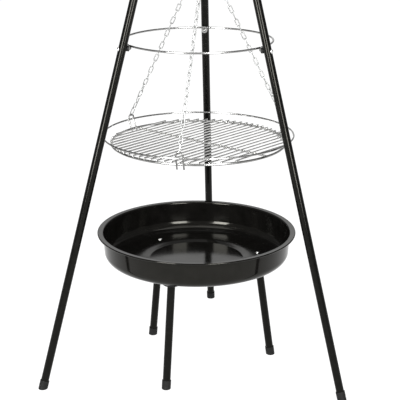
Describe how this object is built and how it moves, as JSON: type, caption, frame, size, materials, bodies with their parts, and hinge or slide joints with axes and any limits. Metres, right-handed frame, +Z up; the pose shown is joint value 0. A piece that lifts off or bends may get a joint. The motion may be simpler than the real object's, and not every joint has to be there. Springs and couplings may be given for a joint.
{
  "type": "campfire tripod grate",
  "caption": "Campfire tripod with a spreader ring, and a round wire grate hung on chains over a fire bowl that stands on legs of its own.",
  "frame": {"origin": "on the ground, at the middle of the object's bounding box", "axes": "+Z up, +Y towards the rear tripod leg, +X to the right; the tripod's own axis is the vertical line at y = -95.3 mm"},
  "size_m": [0.7764, 0.7024, 1.501],
  "materials": {
    "black_paint": "semi-gloss black powder coat",
    "black_enamel": "high-gloss black vitreous enamel",
    "black_plastic": "matt black",
    "chrome": "bright chrome plate",
    "zinc_plate": "bright zinc plate"
  },
  "bodies": {
    "tripod": {"leg_rear_lower": "black_paint", "leg_rear_middle": "black_paint", "leg_rear_upper": "black_paint", "leg_rear_cap": "black_plastic", "ring_saddle_rear": "black_plastic", "ring_bolt_rear": "chrome", "ring_nut_rear": "chrome", "pivot_bolt_rear": "zinc_plate", "pivot_nut_rear": "zinc_plate", "leg_right_lower": "black_paint", "leg_right_middle": "black_paint", "leg_right_upper": "black_paint", "leg_right_cap": "black_plastic", "ring_saddle_right": "black_plastic", "ring_bolt_right": "chrome", "ring_nut_right": "chrome", "pivot_bolt_right": "zinc_plate", "pivot_nut_right": "zinc_plate", "leg_left_lower": "black_paint", "leg_left_middle": "black_paint", "leg_left_upper": "black_paint", "leg_left_cap": "black_plastic", "ring_saddle_left": "black_plastic", "ring_bolt_left": "chrome", "ring_nut_left": "chrome", "pivot_bolt_left": "zinc_plate", "pivot_nut_left": "zinc_plate", "spreader_ring": "chrome", "head_plate": "black_paint"},
    "eye_bolt": {"eye_bolt": "zinc_plate", "eye_bolt_nut": "zinc_plate"},
    "top_hook": {"top_hook": "zinc_plate"},
    "hoist_chain": {"hoist_chain": "zinc_plate"},
    "grate": {"chain_hook": "zinc_plate", "master_ring": "zinc_plate", "grate_chain_1": "zinc_plate", "grate_chain_2": "zinc_plate", "grate_chain_3": "zinc_plate", "grate_rim": "chrome", "grate_bars": "chrome", "fence_ring": "chrome", "hanger_1": "chrome", "hanger_2": "chrome", "hanger_3": "chrome"},
    "bowl_stand": {"fire_bowl": "black_enamel", "bowl_socket_1": "black_plastic", "bowl_screw_1": "chrome", "bowl_leg_1": "black_paint", "bowl_leg_cap_1": "black_plastic", "bowl_socket_2": "black_plastic", "bowl_screw_2": "chrome", "bowl_leg_2": "black_paint", "bowl_leg_cap_2": "black_plastic", "bowl_socket_3": "black_plastic", "bowl_screw_3": "chrome", "bowl_leg_3": "black_paint", "bowl_leg_cap_3": "black_plastic"}
  },
  "joints": [
    {"name": "grate_spin", "type": "hinge", "parent": "tripod", "child": "eye_bolt", "pos_m": [0, -0.0953, 1.466], "axis": [0, 0, 1], "continuous": true},
    {"name": "hook_swing", "type": "hinge", "parent": "eye_bolt", "child": "top_hook", "pos_m": [0, -0.0953, 1.455], "axis": [-0.4067, 0.9135, 0], "range_deg": [-0.5, 0.5]},
    {"name": "chain_swing", "type": "hinge", "parent": "top_hook", "child": "hoist_chain", "pos_m": [0, -0.0953, 1.4008], "axis": [0.9135, 0.4067, 0], "range_deg": [-0.5, 0.5]},
    {"name": "grate_height", "type": "slide", "parent": "hoist_chain", "child": "grate", "axis": [0, 0, 1], "range_m": [-0.114, 0]},
    {"name": "bowl_slide", "type": "slide", "parent": "tripod", "child": "bowl_stand", "axis": [0, -1, 0], "range_m": [0, 0.52]}
  ]
}
